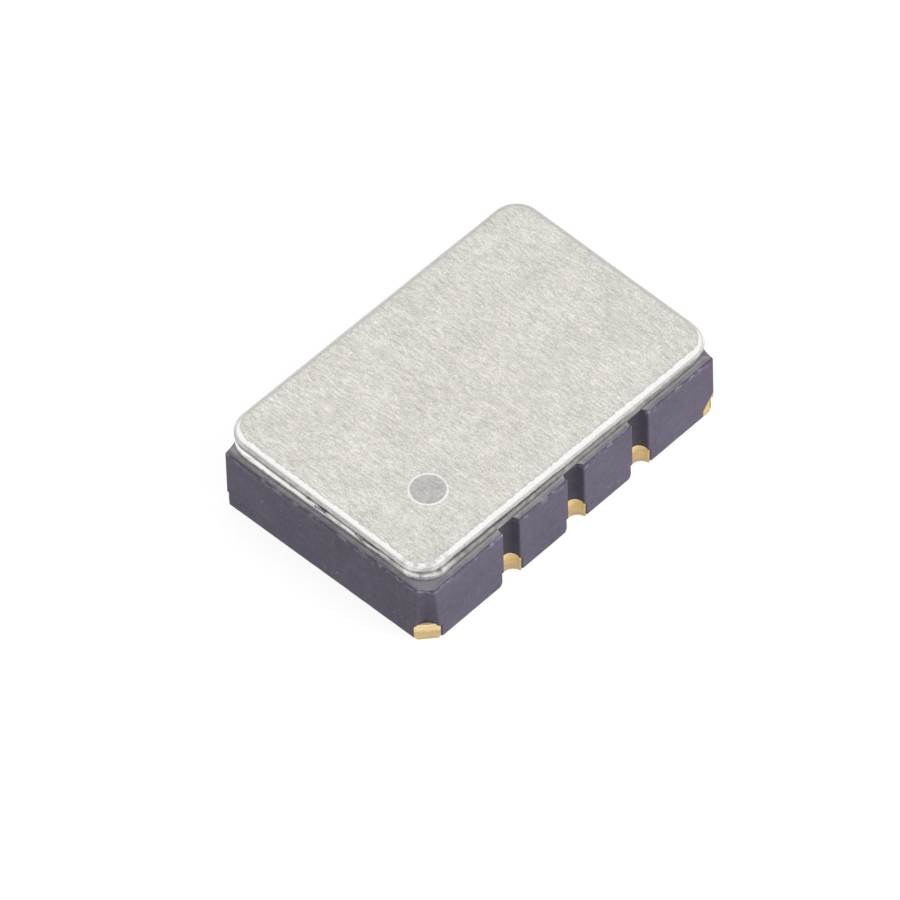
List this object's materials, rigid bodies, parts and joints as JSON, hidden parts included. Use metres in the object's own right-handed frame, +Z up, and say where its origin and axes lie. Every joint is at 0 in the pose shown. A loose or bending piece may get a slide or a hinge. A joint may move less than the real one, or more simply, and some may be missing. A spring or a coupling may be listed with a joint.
{
  "type": "real-time clock module",
  "caption": "Surface-mount clock module: ceramic carrier with gold castellated terminals, welded metal lid with an orientation dot, and inside it a tuning-fork crystal over a wired chip.",
  "frame": {"origin": "middle of the seating plane, under the lands", "axes": "+X along the length, away from the end with the orientation dot; +Y across, away from the dot's long side; +Z up through the lid"},
  "size_m": [0.0038, 0.0024, 0.0008],
  "materials": {
    "ceramic": "matte, fine grained, dark purple grey",
    "gold_plating": "satin gold plating over a fired metal base",
    "gold_wire": "drawn gold wire",
    "seal_metal": "dull grey metal film",
    "ring_metal": "bright worn edge, dull between",
    "lid_metal": "matte with a fine grain, polished rim",
    "silicon": "polished silicon",
    "quartz": "etched quartz",
    "die_glue": "cured adhesive",
    "silver_glue": "cured silver-filled adhesive"
  },
  "bodies": {
    "root": {"bond_wire_01": "gold_wire", "bond_wire_02": "gold_wire", "bond_wire_03": "gold_wire", "bond_wire_04": "gold_wire", "bond_wire_05": "gold_wire", "bond_wire_06": "gold_wire", "bond_wire_07": "gold_wire", "bond_wire_08": "gold_wire", "bond_wire_09": "gold_wire", "bond_wire_10": "gold_wire", "bond_wire_11": "gold_wire", "bond_wire_12": "gold_wire", "ceramic_body": "ceramic", "clock_die": "silicon", "crystal_adhesive_01": "silver_glue", "crystal_adhesive_02": "silver_glue", "crystal_contact_01": "gold_plating", "crystal_contact_02": "gold_plating", "die_adhesive": "die_glue", "lid": "lid_metal", "seal_film": "seal_metal", "seal_ring": "ring_metal", "terminal_01": "gold_plating", "terminal_02": "gold_plating", "terminal_03": "gold_plating", "terminal_04": "gold_plating", "terminal_05": "gold_plating", "terminal_06": "gold_plating", "terminal_07": "gold_plating", "terminal_08": "gold_plating", "terminal_09": "gold_plating", "terminal_10": "gold_plating", "tuning_fork_crystal": "quartz"}
  },
  "joints": []
}
